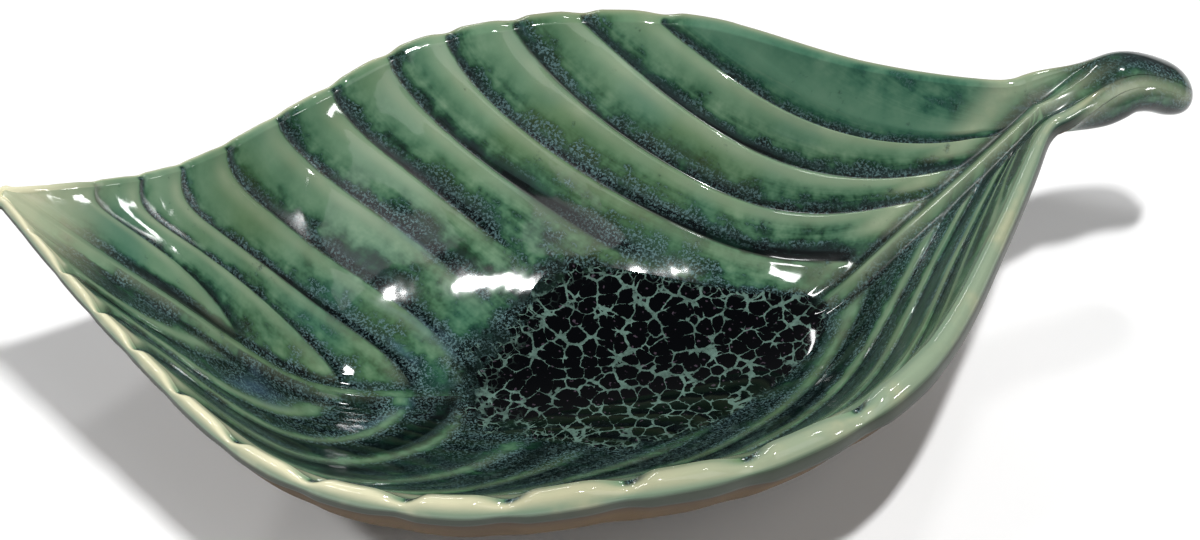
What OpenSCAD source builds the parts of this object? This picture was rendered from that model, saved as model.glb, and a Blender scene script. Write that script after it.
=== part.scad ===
// Leaf shaped serving dish of glazed stoneware.
// The tip of the leaf points to -X, the stem to +X, and the near side is -Y.
// Every surface of the leaf is worked out from two numbers: a row, which follows one side vein
// from the midrib to the rim, and a place across the row, from 0 on the midrib to 1 on the rim.

/* [Leaf] */
// Length of the leaf from its tip to the start of the stem
leaf_len = 240; // [200:5:280]
// Greatest distance from the centre line to the inner edge of the rim
half_width = 72; // [60:1:84]
// Height of the rim at the tip
tip_h = 75; // [66:1:84]
// How far the centre line bows to the near side
bow = 19; // [10:1:24]
// Half the width of the leaf where it runs into the stem
stem_root = 6; // [5:0.5:8]
// Half the width of the leaf at its very tip
tip_root = 1; // [0.5:0.1:2]

/* [Wall and lip] */
// Width of the rounded lip
lip_w = 6.5; // [5:0.5:8]
// Height of the lip's crest over its inner edge
lip_rise = 0.9; // [0.5:0.1:1.5]
// How far the glaze runs down the outside of the lip
glaze_drop = 5; // [4:0.5:7]
// Thickness of the glaze coat
glaze_t = 0.5; // [0.4:0.1:0.8]
// How far the tip of the lip reaches out in front of the leaf
tip_reach = 2.5; // [2:0.5:4]

/* [Veins] */
// Depth of the grooves between the bands
groove_depth = 1.6; // [1:0.1:3]
// How far each groove draws the rim in
notch_in = 1; // [0.5:0.1:2.4]
// How far each groove lowers the rim
notch_down = 1.6; // [0.5:0.1:2.4]
// Width of the midrib
midrib_w = 4.4; // [3:0.2:6]
// Height of the midrib
midrib_h = 1.8; // [1:0.1:2.4]
// Steps that round one band
band_steps = 4; // [3:1:5]

/* [Glaze pool] */
// Thickness of the pool of glass at its middle
pool_t = 1.8; // [1:0.1:2.4]
// Thickness of the pool at its margin
pool_edge_t = 0.25; // [0.2:0.05:0.4]

/* [Stem] */
// Length of the stem along the table
stem_len = 41; // [34:1:46]
// Width of the stem before its end
stem_w = 16; // [13:1:18]
// Thickness of the stem before its end
stem_t = 9; // [8:0.5:11]
// How far the stem climbs over the end of the leaf
stem_rise = 6; // [4:0.5:8]
// How far its end curls down from there
stem_curl = 10; // [6:0.5:12]
// Turn of the stem to the near side, in degrees over its length
stem_turn = 18; // [0:1:24]

/* [Foot] */
// Height of the foot ring
foot_h = 3.5; // [3:0.5:5]
// Length of the foot ring
foot_len = 92; // [80:2:100]
// Width of the foot ring
foot_w = 44; // [38:2:50]
// Thickness of the ring itself
foot_t = 5; // [4:0.5:7]

/* [Hidden] */

// Shapes along the centre line, at even steps from the tip to the stem
width_shares = [0, 0.36, 0.76, 0.97, 1, 0.97, 0.8, 0.41, 0];
rim_shares = [1, 0.8, 0.73, 0.775, 0.81, 0.81, 0.82, 0.83, 0.88];
floor_shares = [1, 0.6, 0.2, 0.12, 0.1, 0.095, 0.175, 0.5, 0.825];
under_shares = [0.955, 0.52, 0.105, -0.02, -0.035, -0.035, 0.07, 0.41, 0.735];
lip_shares = [0.32, 0.44, 0.6, 0.78, 0.92, 1, 1, 0.95, 0.8];
// Where the grooves reach the rim
vein_shares = [0.03, 0.063, 0.098, 0.132, 0.172, 0.222, 0.282, 0.352, 0.425, 0.512, 0.6, 0.693];
// How far towards the stem each row starts on the midrib, and how suddenly it bends there
sweep_shares = [0, 0.19, 0.265, 0.32, 0.395, 0.4, 0.345, 0.283, 0.19, 0.095, 0];
bend_shares = [2, 3.2, 1.6, 1.4, 1.4, 1.25, 0.92, 0.68, 0.66, 0.75, 0.9];
// Where the rows of the smooth part by the stem lie, and how far they stand over the last groove
last_row_shares = [0, 0.06, 0.12, 0.2, 0.3, 0.42, 0.56, 0.72, 0.87, 1];
last_crest_shares = [0, 0.75, 0.95, 1, 1, 1, 1, 1, 1, 1];
// How the inside and the outside rise from the midrib to the rim
inner_power = 2;
outer_power = 2.6;
// Roundness of one band, which is higher on the side of the stem
band_lean = 1.4;
band_round = 0.6;
// The pool: its first and last row, and its half width on the far and the near side
pool_row_shares = [0.15, 0.39];
pool_far_share = 0.43;
pool_near_share = 0.39;
pool_end_share = 0.1;
// The lip across its width: the place outwards and the height of each of its lines
lip_out_shares = [0.28, 0.6, 0.9, 1];
lip_up_shares = [0.8, 1, -0.3, 0];
lip_skin_shares = [0, 0.1, 0.7, 1];
// Lines across the wall from the pool's margin to the rim
wall_shares = [0.18, 0.38, 0.58, 0.76, 0.9, 1];
under_lines = 7;
stem_sections = 16;

// Value of a table at a place from 0 to 1, on a smooth curve through its entries
function beyond(tab, k) = let (n = len(tab) - 1)
    k < 0 ? 2 * tab[0] - tab[1] : k > n ? 2 * tab[n] - tab[n - 1] : tab[k];
function along(tab, s) = let (
    n = len(tab) - 1,
    p = min(max(s, 0), 1) * n,
    k = min(floor(p), n - 1),
    u = p - k,
    a = beyond(tab, k - 1),
    b = tab[k],
    c = tab[k + 1],
    d = beyond(tab, k + 2)
) b + ((c - a) * u + (2 * a - 5 * b + 4 * c - d) * u * u + (3 * b - a - 3 * c + d) * u * u * u) / 2;
function clamp(x) = min(max(x, 0), 1);
function smooth(x) = let (q = clamp(x)) q * q * (3 - 2 * q);

// The centre line in plan, its direction and the direction across it
function centre(s) = [leaf_len * (s - 0.5), -4 * bow * s * (1 - s)];
function heading(s) = let (d = [leaf_len, -4 * bow * (1 - 2 * s)]) d / norm(d);
function across(s) = let (t = heading(s)) [-t[1], t[0]];
function width(s) = let (
    a = half_width * along(width_shares, s),
    b = tip_root * (1 - s) + stem_root * s
) sqrt(a * a + b * b);
function rim_z(s) = tip_h * along(rim_shares, s);
function floor_z(s) = tip_h * along(floor_shares, s);
function under_z(s) = tip_h * along(under_shares, s);
// The lip is narrow at the tip and widest along the half by the stem
function lip_part(s) = along(lip_shares, s);

// A row's place on the centre line at a distance v from it
function row_place(c, v) = let (
    b = along(bend_shares, c)
) c + along(sweep_shares, c) * pow(cos(90 * pow(abs(v), max(1, 1 / b))), max(1, b));
// Height of a band over its grooves, from 0 to 1
function crest(u) = pow(sin(180 * pow(u, band_lean)), band_round);
last_vein = len(vein_shares) - 1;
rows = concat(
    [[0, 1], [vein_shares[0] / 2, 1]],
    [for (k = [0:last_vein - 1]) for (i = [0:band_steps - 1]) let (
        u = i / band_steps,
        c = vein_shares[k] + (vein_shares[k + 1] - vein_shares[k]) * u
    ) [c, crest(u)]],
    [for (i = [0:len(last_row_shares) - 1]) let (
        c = vein_shares[last_vein] + (1 - vein_shares[last_vein]) * last_row_shares[i]
    ) [c, last_crest_shares[i]]]
);
row_count = len(rows);
// How far a row lies below the crests, which is little at the very tip
function lowness(row) = (1 - row[1]) * smooth(row[0] / 0.08);

// The pool's margin on a row, as a place across, and how much of the pool there is
function pool_along(c) = (c - pool_row_shares[0]) / (pool_row_shares[1] - pool_row_shares[0]);
function pool_fill(c) = let (q = pool_along(c)) q <= 0 || q >= 1 ? 0 : pow(sin(180 * pow(q, 1.7)), 0.8);
function pool_margin(c, side) = let (
    widest = side > 0 ? pool_far_share : pool_near_share
) pool_end_share + (widest - pool_end_share) * pool_fill(c);

// Places across one side of a row: the midrib's edge, the groove beside it, the pool, the wall
function lines_of(c, side) = let (
    w = width(row_place(c, 0)),
    rib = min(midrib_w / 2 / w, 0.22),
    ditch = 2 * rib,
    m = max(pool_margin(c, side), ditch + 0.06)
) concat(
    [0, rib, ditch, ditch + (m - ditch) / 2, m],
    [for (q = wall_shares) m + (1 - m) * q]
);
side_lines = 4 + len(wall_shares);
pool_lines = 4;

// How much of the grooves shows at a place: none on the midrib or in the pool, less on the rim
function groove_part(c, v, side, s) = let (
    from_rib = smooth((v * width(s) - midrib_w / 2) / (1.5 * midrib_w)),
    from_pool = smooth((v - pool_margin(c, side)) / 0.2),
    in_pool = smooth(4 * pool_fill(c)),
    to_rim = 1 - 0.4 * smooth((v - 0.8) / 0.2)
) from_rib * to_rim * (1 - in_pool * (1 - from_pool));

// Height of the smooth inside without veins
function dish_z(s, v) = floor_z(s) + (rim_z(s) - floor_z(s)) * pow(v, inner_power);
// The midrib stands up, with a ditch on each side, and sinks in the pool
function midrib_part(s) = 1 - 0.8 * smooth((s - 0.36) / 0.08) * smooth((0.82 - s) / 0.08);
function rib_z(s, j) = midrib_part(s) * (j == 0 ? midrib_h : j == 2 ? -midrib_h / 2 : 0);

// One point of the glazed inside: row, line j across, side 1 far or -1 near
function inner_point(row, j, side) = let (
    c = row[0],
    v = lines_of(c, side)[j],
    s = row_place(c, v),
    low = lowness(row),
    to_rim = smooth((v - 0.75) / 0.25),
    xy = centre(s) + side * (width(s) * v - notch_in * low * to_rim) * across(s),
    z = dish_z(s, v) + rib_z(s, j) - groove_depth * low * groove_part(c, v, side, s)
) [xy[0], xy[1], z];
function inner_line(row) = concat(
    [for (j = [side_lines:-1:1]) inner_point(row, j, -1)],
    [for (j = [0:side_lines]) inner_point(row, j, 1)]
);

// Direction out of the leaf at the rim, turned square to the centre line where the stem starts
function outward(s, side) = let (
    slope = (width(s + 0.004) - width(s - 0.004)) / 0.008 / norm([leaf_len, 4 * bow * (1 - 2 * s)]),
    d = side * across(s) - slope * smooth((1 - s) / 0.08) * heading(s)
) d / norm(d);

// One line of the lip, from its inner edge over the crest to the end of the glaze
function lip_point(row, m, side, skin) = let (
    s = row[0],
    low = lowness(row),
    part = lip_part(s),
    edge = centre(s) + side * (width(s) - notch_in * low) * across(s),
    out = lip_w * part * lip_out_shares[m] - skin * lip_skin_shares[m],
    up = lip_up_shares[m] > 0 ? lip_rise * lip_up_shares[m]
        : m == len(lip_up_shares) - 1 ? -glaze_drop * part : glaze_drop * lip_up_shares[m] * part,
    xy = edge + out * outward(s, side),
    z = rim_z(s) - notch_down * low * (1 - lip_out_shares[m] / 2) + up - skin * (1 - lip_skin_shares[m])
) [xy[0], xy[1], z];
lip_lines = len(lip_out_shares);
function lip_line(row, side, skin) = [for (m = [0:lip_lines - 1]) lip_point(row, m, side, skin)];
function backwards(list) = [for (i = [len(list) - 1:-1:0]) list[i]];
function lowered(list, h) = [for (p = list) p - [0, 0, h]];

// All lines of the coat on one row, from the near glaze end to the far one, skin under its surface
function coat_line(row, skin) = concat(
    backwards(lip_line(row, -1, skin)),
    lowered(inner_line(row), skin),
    lip_line(row, 1, skin)
);
coat_lines = 2 * (side_lines + lip_lines) + 1;

// One point of the bare outside, from the far glaze end under the leaf to the near one
function under_point(row, k) = let (
    v = abs(k) / under_lines,
    side = k < 0 ? -1 : 1,
    s = row_place(row[0], v),
    part = lip_part(s),
    low = lowness(row) * smooth((v - 0.6) / 0.4),
    top_z = rim_z(s) - glaze_drop * part,
    xy = centre(s) + side * (width(s) * v - notch_in * low) * across(s)
        + lip_w * part * pow(v, 3) * outward(s, side),
    z = under_z(s) + (top_z - under_z(s)) * pow(v, outer_power)
) [xy[0], xy[1], max(z, foot_h)];
function under_line(row) = [for (k = [under_lines - 1:-1:1 - under_lines]) under_point(row, k)];
loop_lines = coat_lines + 2 * under_lines - 1;

coat_points = [for (row = rows) coat_line(row, 0)];
clay_points = [for (row = rows) coat_line(row, glaze_t)];
under_points = [for (row = rows) under_line(row)];

// The points in front of the tip where the lip closes
function tip_point(skin) = let (
    xy = centre(0) - (tip_reach - skin) * heading(0)
) [xy[0], xy[1], rim_z(0) - glaze_drop * lip_part(0) / 2];

// The stem: a section of the leaf's end that turns into an oval along a climbing path
stem_start = concat(coat_points[row_count - 1], under_points[row_count - 1]);
start_xy = centre(1);
start_z = (floor_z(1) + under_z(1)) / 2;
// Places sideways and upwards of a point of the starting section
function start_local(p) = [([p[0], p[1]] - start_xy) * across(1), p[2] - start_z];
function oval_local(p) = let (a = atan2(p[1] / stem_t, p[0] / stem_w)) [
    stem_w / 2 * cos(a),
    stem_t / 2 * sin(a)
];
function inset(p, skin) = p * (1 - skin / norm(p));
// The path's place, height and slope at t from 0 to 1
function stem_angle(t) = atan2(heading(1)[1], heading(1)[0]) - stem_turn * t;
function stem_height(t) = stem_rise * smooth(t / 0.6) - stem_curl * pow(smooth((t - 0.45) / 0.65), 1.3);
function stem_step(t) = stem_len / stem_sections * [cos(stem_angle(t)), sin(stem_angle(t))];
function stem_xy(i) = i == 0 ? start_xy : stem_xy(i - 1) + stem_step((i - 0.5) / stem_sections);
stem_path = [for (i = [0:stem_sections]) stem_xy(i)];
function stem_pitch(t) = let (d = 0.02) smooth(2 * t)
    * atan2(stem_height(t + d) - stem_height(t - d), 2 * d * stem_len);
// Size of the section, which closes round at the end
function stem_close(t) = let (q = clamp((t - 0.8) / 0.2)) sqrt(max(1 - q * q, 0));
function stem_section(i, skin) = let (
    t = i / stem_sections,
    side = [-sin(stem_angle(t)), cos(stem_angle(t)), 0],
    ahead = [cos(stem_angle(t)), sin(stem_angle(t)), 0],
    pitch = stem_pitch(t),
    up = [0, 0, 1] * cos(pitch) - ahead * sin(pitch),
    middle = [stem_path[i][0], stem_path[i][1], start_z + stem_height(t)],
    blend = smooth(t / 0.5)
) [for (p = stem_start) let (
    a = start_local(p),
    b = oval_local(a),
    q = inset((a * (1 - blend) + b * blend) * (0.12 + 0.88 * stem_close(t)), skin)
) middle + q[0] * side + q[1] * up];
function stem_end(skin) = let (
    a = stem_angle(1),
    out = stem_t / 10 - skin
) [
    stem_path[stem_sections][0] + out * cos(a),
    stem_path[stem_sections][1] + out * sin(a),
    start_z + stem_height(1)
];
stem_outer = [for (i = [0:stem_sections]) stem_section(i, 0)];
stem_inner = [for (i = [0:stem_sections]) stem_section(i, glaze_t)];

// The middle of the whole dish in plan, which is put over the origin
all_x = concat(
    [for (line = coat_points) for (p = line) p[0]],
    [for (line = stem_outer) for (p = line) p[0]],
    [tip_point(0)[0], stem_end(0)[0]]
);
all_y = concat([for (line = coat_points) for (p = line) p[1]], [for (line = stem_outer) for (p = line) p[1]]);
middle_xy = [(min(all_x) + max(all_x)) / 2, (min(all_y) + max(all_y)) / 2];

// Places in a list of points that holds rows of a given length, and the faces between them
function sheet(first, rows_n, lines_n, stride, start) = [
    for (i = [first:first + rows_n - 2]) for (j = [0:lines_n - 2]) let (
        a = start + i * stride + j,
        b = a + stride
    ) each [[a, a + 1, b + 1], [a, b + 1, b]]
];
function flipped(faces) = [for (f = faces) [f[0], f[2], f[1]]];
function fan(middle, loop) = [
    for (i = [0:len(loop) - 1]) [middle, loop[(i + 1) % len(loop)], loop[i]]
];
function strip(one, other) = [
    for (i = [0:len(one) - 2]) each [[one[i], other[i + 1], one[i + 1]], [one[i], other[i], other[i + 1]]]
];
function range_of(first, n, step) = [for (i = [0:n - 1]) first + i * step];

// A tube of closed loops, with a point at each end
function tube_faces(n_rows, n_lines) = let (first = n_rows * n_lines) concat(
    sheet(0, n_rows, n_lines, n_lines, 0),
    [for (i = [0:n_rows - 2]) let (
        a = i * n_lines + n_lines - 1,
        b = a + n_lines
    ) each [[a, a + 1 - n_lines, b + 1 - n_lines], [a, b + 1 - n_lines, b]]],
    fan(first, range_of(0, n_lines, 1)),
    flipped(fan(first + 1, range_of((n_rows - 1) * n_lines, n_lines, 1)))
);
function flat(lists) = [for (list = lists) for (p = list) p];

module placed() {
    translate([-middle_xy[0], -middle_xy[1], 0]) children();
}

module leaf_body() {
    loops = [for (i = [0:row_count - 1]) concat(clay_points[i], under_points[i])];
    end_middle = [start_xy[0], start_xy[1], start_z];
    color("#8a7a5c") placed()
        polyhedron(
            points = concat(flat(loops), [tip_point(glaze_t), end_middle]),
            faces = tube_faces(row_count, loop_lines)
        );
}

module stem_handle() {
    color("#8a7a5c") placed()
        polyhedron(
            points = concat(flat(stem_inner), [[start_xy[0], start_xy[1], start_z], stem_end(glaze_t)]),
            faces = tube_faces(stem_sections + 1, loop_lines)
        );
}

// The coat over the inside and the lip: two sheets joined along their edges and round the tip
module interior_glaze() {
    n = coat_lines;
    under_start = row_count * n;
    tip = 2 * under_start;
    near_top = range_of(0, row_count, n);
    near_low = range_of(under_start, row_count, n);
    far_top = range_of(n - 1, row_count, n);
    far_low = range_of(under_start + n - 1, row_count, n);
    end_top = range_of((row_count - 1) * n, n, 1);
    end_low = range_of(under_start + (row_count - 1) * n, n, 1);
    faces = concat(
        sheet(0, row_count, n, n, 0),
        flipped(sheet(0, row_count, n, n, under_start)),
        flipped(strip(near_top, near_low)),
        strip(far_top, far_low),
        flipped(strip(end_top, end_low)),
        [for (j = [0:n - 2]) [tip, j + 1, j]],
        [for (j = [0:n - 2]) [tip + 1, under_start + j, under_start + j + 1]],
        [[tip, 0, tip + 1], [tip + 1, 0, under_start]],
        [[tip, tip + 1, n - 1], [tip + 1, under_start + n - 1, n - 1]]
    );
    color("#3f6b4c") placed()
        polyhedron(
            points = concat(flat(coat_points), flat(clay_points), [tip_point(0), tip_point(glaze_t)]),
            faces = faces
        );
}

// The coat round the stem: two tubes joined at the end of the leaf
module stem_glaze() {
    n = loop_lines;
    n_rows = stem_sections + 1;
    inner_start = n_rows * n;
    ends = 2 * inner_start;
    around = [for (i = [0:n_rows - 2]) let (
        a = i * n + n - 1,
        b = a + n
    ) each [[a, a + 1 - n, b + 1 - n], [a, b + 1 - n, b]]];
    outer_faces = concat(sheet(0, n_rows, n, n, 0), around);
    inner_faces = [for (f = outer_faces) [f[0] + inner_start, f[2] + inner_start, f[1] + inner_start]];
    last_outer = range_of((n_rows - 1) * n, n, 1);
    last_inner = range_of(inner_start + (n_rows - 1) * n, n, 1);
    first_outer = concat(range_of(0, n, 1), [0]);
    first_inner = concat(range_of(inner_start, n, 1), [inner_start]);
    faces = concat(
        outer_faces,
        inner_faces,
        flipped(fan(ends, last_outer)),
        fan(ends + 1, last_inner),
        strip(first_outer, first_inner)
    );
    color("#2f5a50") placed()
        polyhedron(
            points = concat(flat(stem_outer), flat(stem_inner), [stem_end(0), stem_end(glaze_t)]),
            faces = faces
        );
}

// The lens of black glass that lies in the well on the coat
module glaze_pool() {
    held = [for (i = [0:row_count - 1]) if (pool_fill(rows[i][0]) > 0.05) i];
    middle_line = lip_lines + side_lines;
    first_line = middle_line - pool_lines;
    n = 2 * pool_lines + 1;
    n_rows = len(held);
    bottom = [for (i = held) [for (j = [0:n - 1]) coat_points[i][first_line + j]]];
    top = [for (i = held) [for (j = [0:n - 1]) let (
        c = rows[i][0],
        side = j < pool_lines ? -1 : 1,
        v = lines_of(c, side)[abs(j - pool_lines)],
        q = v / pool_margin(c, side),
        t = pool_edge_t + (pool_t - pool_edge_t) * pool_fill(c) * (1 - q * q),
        p = coat_points[i][first_line + j]
    ) [p[0], p[1], max(p[2] + pool_edge_t, dish_z(row_place(c, v), v) + t)]]];
    top_start = 0;
    low_start = n_rows * n;
    faces = concat(
        sheet(0, n_rows, n, n, top_start),
        flipped(sheet(0, n_rows, n, n, low_start)),
        flipped(strip(range_of(0, n_rows, n), range_of(low_start, n_rows, n))),
        strip(range_of(n - 1, n_rows, n), range_of(low_start + n - 1, n_rows, n)),
        strip(range_of(0, n, 1), range_of(low_start, n, 1)),
        flipped(strip(range_of((n_rows - 1) * n, n, 1), range_of(low_start + (n_rows - 1) * n, n, 1)))
    );
    color("#0c1411") placed()
        polyhedron(points = concat(flat(top), flat(bottom)), faces = faces);
}

// An oval ring under the flat base
module foot_ring() {
    xy = centre(0.5);
    function oval(length, breadth) = [for (a = [0:6:354]) [
        length / 2 * cos(a),
        breadth / 2 * sin(a)
    ]];
    color("#9a8a6a") placed()
        translate([xy[0], xy[1], 0])
            linear_extrude(height = foot_h)
                difference() {
                    polygon(oval(foot_len, foot_w));
                    polygon(oval(foot_len - 2 * foot_t, foot_w - 2 * foot_t));
                }
}

leaf_body();
stem_handle();
foot_ring();
interior_glaze();
stem_glaze();
glaze_pool();
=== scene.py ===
"""Leaf shaped serving dish of glazed stoneware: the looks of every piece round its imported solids."""

import logging
import math
from dataclasses import dataclass
from enum import Enum
from typing import Sequence, Union

import bpy
import numpy as np
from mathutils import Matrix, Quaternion, Vector


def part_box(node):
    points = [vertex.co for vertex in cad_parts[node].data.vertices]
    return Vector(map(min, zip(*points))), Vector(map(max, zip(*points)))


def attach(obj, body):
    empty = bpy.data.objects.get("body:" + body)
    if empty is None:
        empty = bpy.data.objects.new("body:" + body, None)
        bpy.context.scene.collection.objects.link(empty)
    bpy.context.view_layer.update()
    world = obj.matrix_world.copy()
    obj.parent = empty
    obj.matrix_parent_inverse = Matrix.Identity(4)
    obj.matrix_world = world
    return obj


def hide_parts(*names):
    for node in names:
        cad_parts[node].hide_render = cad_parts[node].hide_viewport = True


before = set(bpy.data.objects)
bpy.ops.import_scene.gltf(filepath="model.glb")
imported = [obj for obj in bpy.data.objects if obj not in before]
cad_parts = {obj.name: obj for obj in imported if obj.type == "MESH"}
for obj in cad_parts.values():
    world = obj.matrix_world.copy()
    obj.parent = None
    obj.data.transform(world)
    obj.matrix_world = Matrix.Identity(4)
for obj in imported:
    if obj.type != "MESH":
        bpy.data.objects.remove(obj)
log = logging.getLogger("leaf_dish")

Array = np.ndarray
Number = Union[int, float]
Colour = tuple[float, float, float]

ALONG_DRAG = np.array([0.1, 1.0, 1.0])


def smooth(x: Array | float) -> Array:
    """An even step from 0 to 1 that starts and ends level."""
    share = np.clip(x, 0.0, 1.0)
    return share * share * (3.0 - 2.0 * share)


def bell(x: Array | float) -> Array:
    """A bell shaped hill, 1 at 0."""
    return np.exp(-np.square(x))


def unit(ways: Array) -> Array:
    """The same directions, each with a length of 1."""
    return ways / np.linalg.norm(ways, axis=-1, keepdims=True)


def lifted(plan: Array, z: Array) -> Array:
    """Points at their heights over places in plan."""
    return np.concatenate([plan, z[..., None]], -1)


def paint(red: Number, green: Number, blue: Number) -> Colour:
    """Linear light of a colour that is given as a screen shows it, each share from 0 to 255."""
    shares = (share / 255.0 for share in (red, green, blue))
    return tuple(share / 12.92 if share <= 0.04045 else ((share + 0.055) / 1.055) ** 2.4 for share in shares)


class Side(Enum):
    """The two halves of the leaf, on each side of the midrib."""

    NEAR = -1
    FAR = 1


class Slot(Enum):
    """The three finishes that the dish is made in."""

    CLAY = "stoneware"
    GLAZE = "green_glaze"
    POOL = "pool_glass"


@dataclass(frozen=True)
class Profile:
    """A smooth curve through values that stand at even steps from 0 to 1."""

    values: tuple[float, ...]

    def at(self, place: Array | float) -> Array:
        """Value of the curve.

        Args:
            place: Places along the curve, from 0 to 1.

        Returns:
            The values there.
        """
        values = self.values
        steps = len(values) - 1
        held = np.array([2 * values[0] - values[1], *values, 2 * values[-1] - values[-2]])
        spot = np.clip(place, 0.0, 1.0) * steps
        index = np.minimum(np.floor(spot).astype(int), steps - 1)
        part = spot - index
        before, start, end, after = held[index], held[index + 1], held[index + 2], held[index + 3]
        square = (2 * before - 5 * start + 4 * end - after) * part**2
        cube = (3 * start - before - 3 * end + after) * part**3
        return start + ((end - before) * part + (square + cube)) / 2


@dataclass(frozen=True)
class LeafForm:
    """Sizes of the leaf in metres, and the laws that give the place of every point on it.

    A row follows one side vein and is named by its place on the rim. A place across it goes from
    0 on the midrib to 1 on the rim.
    """

    length: float = 0.240
    half_width: float = 0.072
    tip_height: float = 0.075
    bow: float = 0.019
    stem_root: float = 0.006
    tip_root: float = 0.001
    lip_width: float = 0.0065
    lip_rise: float = 0.0009
    glaze_drop: float = 0.005
    tip_reach: float = 0.0025
    groove_depth: float = 0.0016
    notch_in: float = 0.0012
    notch_out: float = 0.0010
    notch_down: float = 0.0022
    notch_slant: float = 0.005
    far_notch: float = 0.45
    midrib_width: float = 0.0044
    midrib_height: float = 0.0018
    foot_height: float = 0.0035
    width_curve: Profile = Profile((0, 0.36, 0.76, 0.97, 1, 0.97, 0.8, 0.41, 0))
    rim_curve: Profile = Profile((1, 0.8, 0.73, 0.775, 0.81, 0.81, 0.82, 0.83, 0.88))
    floor_curve: Profile = Profile((1, 0.6, 0.2, 0.12, 0.1, 0.095, 0.175, 0.5, 0.825))
    under_curve: Profile = Profile((0.955, 0.52, 0.105, -0.02, -0.035, -0.035, 0.07, 0.41, 0.735))
    lip_curve: Profile = Profile((0.32, 0.44, 0.6, 0.78, 0.92, 1, 0.92, 0.72, 0.6))
    sweep_curve: Profile = Profile((0, 0.19, 0.265, 0.32, 0.395, 0.4, 0.345, 0.283, 0.19, 0.095, 0))
    bend_curve: Profile = Profile((2, 3.2, 1.6, 1.4, 1.4, 1.25, 0.92, 0.68, 0.66, 0.75, 0.9))
    lip_out: Profile = Profile((0, 0.28, 0.6, 0.9, 1))
    lip_up: Profile = Profile((0, 0.9, 1, 0.2, 0))
    lip_down: Profile = Profile((0, 0, 0.05, 0.4, 1))
    veins: tuple[float, ...] = (
        0.03, 0.063, 0.098, 0.132, 0.172, 0.222, 0.282, 0.352, 0.425, 0.512, 0.6, 0.693,
    )
    last_band: float = 0.1
    last_reach: float = 0.75
    pool_rows: tuple[float, float] = (0.14, 0.392)
    pool_far: float = 0.43
    pool_near: float = 0.39
    pool_end: float = 0.1
    well_length: float = 0.050
    well_width: float = 0.034
    well_middle: float = -0.002

    def centre(self, along: Array | float) -> Array:
        """Points of the centre line in plan, whose places go from 0 at the tip to 1 at the stem."""
        return np.stack([self.length * (along - 0.5), -4 * self.bow * along * (1 - along)], -1)

    def heading(self, along: Array | float) -> Array:
        """Direction of the centre line towards the stem."""
        return unit(np.stack([self.length + 0 * along, -4 * self.bow * (1 - 2 * along)], -1))

    def across(self, along: Array | float) -> Array:
        """Direction across the leaf, towards its far side."""
        ahead = self.heading(along)
        return np.stack([-ahead[..., 1], ahead[..., 0]], -1)

    def width(self, along: Array | float) -> Array:
        """Half the width of the inside."""
        root = self.tip_root * (1 - along) + self.stem_root * along
        return np.sqrt((self.half_width * self.width_curve.at(along)) ** 2 + root**2)

    def beside(self, along: Array, aside: Array) -> Array:
        """Points in plan at distances from the centre line, above 0 towards the far side."""
        return self.centre(along) + aside[..., None] * self.across(along)

    def rim_z(self, along: Array) -> Array:
        """Height of the lip's inner edge."""
        return self.tip_height * self.rim_curve.at(along)

    def floor_z(self, along: Array) -> Array:
        """Height of the inside on the centre line."""
        return self.tip_height * self.floor_curve.at(along)

    def under_z(self, along: Array) -> Array:
        """Height of the outside under the centre line."""
        return self.tip_height * self.under_curve.at(along)

    def dish_z(self, along: Array, reach: Array) -> Array:
        """Height of the smooth inside, without its grooves and its midrib."""
        return self.floor_z(along) + (self.rim_z(along) - self.floor_z(along)) * reach**2

    def row_place(self, row: Array, reach: Array) -> Array:
        """Place along the centre line that a row has reached.

        Args:
            row: The rows.
            reach: Places across them.

        Returns:
            Places along the centre line.
        """
        bend = self.bend_curve.at(row)
        turn = np.cos(math.pi / 2 * np.abs(reach) ** np.maximum(1, 1 / bend))
        return row + self.sweep_curve.at(row) * np.clip(turn, 0, 1) ** np.maximum(1, bend)

    def band(self, row: Array) -> tuple[Array, Array]:
        """Place between two grooves.

        Args:
            row: The rows.

        Returns:
            Places from 0 at the groove towards the tip to 1 at the next one, and how much of the
            band's own groove there is: none before the first groove.
        """
        veins = np.array(self.veins)
        first, last = veins[0], veins[-1]
        index = np.clip(np.searchsorted(veins, row, side="right") - 1, 0, len(veins) - 2)
        between = (row - veins[index]) / (veins[index + 1] - veins[index])
        between = np.where(row < first, 1 - (first - row) / (veins[1] - first), between)
        between = np.where(row >= last, np.minimum((row - last) / self.last_band, self.last_reach), between)
        return np.clip(between, 0, 1), np.where(row < first, 0.0, 1.0)

    def tip_fade(self, row: Array) -> Array:
        """The grooves start little by little at the very tip."""
        return smooth(row / 0.08)

    def dip(self, row: Array, gone: float, back: float, power: int) -> Array:
        """How deep a row lies, from 0 on a band to 1 in a groove.

        Args:
            row: The rows.
            gone: Place on a band where the groove before it has run out.
            back: Place where the next groove starts.
            power: How late that groove gets deep.

        Returns:
            The depths.
        """
        between, own = self.band(row)
        ahead = smooth((between - back) / (1 - back)) ** power
        return np.maximum(own * (1 - smooth(between / gone)), ahead) * self.tip_fade(row)

    def groove(self, row: Array) -> Array:
        """How deep a row lies on the inside."""
        return self.dip(row, 0.55, 0.86, 1)

    def notch(self, row: Array) -> Array:
        """How deep a row lies on the lip, where each lobe starts with a steep shoulder."""
        return self.dip(row, 0.24, 0.5, 2)

    def pool_fill(self, row: Array) -> Array:
        """How much of the pool a row holds, from 0 to 1."""
        share = (row - self.pool_rows[0]) / (self.pool_rows[1] - self.pool_rows[0])
        return np.where((share > 0) & (share < 1), np.sin(math.pi * np.clip(share, 0, 1) ** 1.7), 0) ** 0.8

    def pool_margin(self, row: Array, side: Array) -> Array:
        """Place across a row where the pool ends."""
        widest = np.where(side > 0, self.pool_far, self.pool_near)
        return self.pool_end + (widest - self.pool_end) * self.pool_fill(row)

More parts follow.
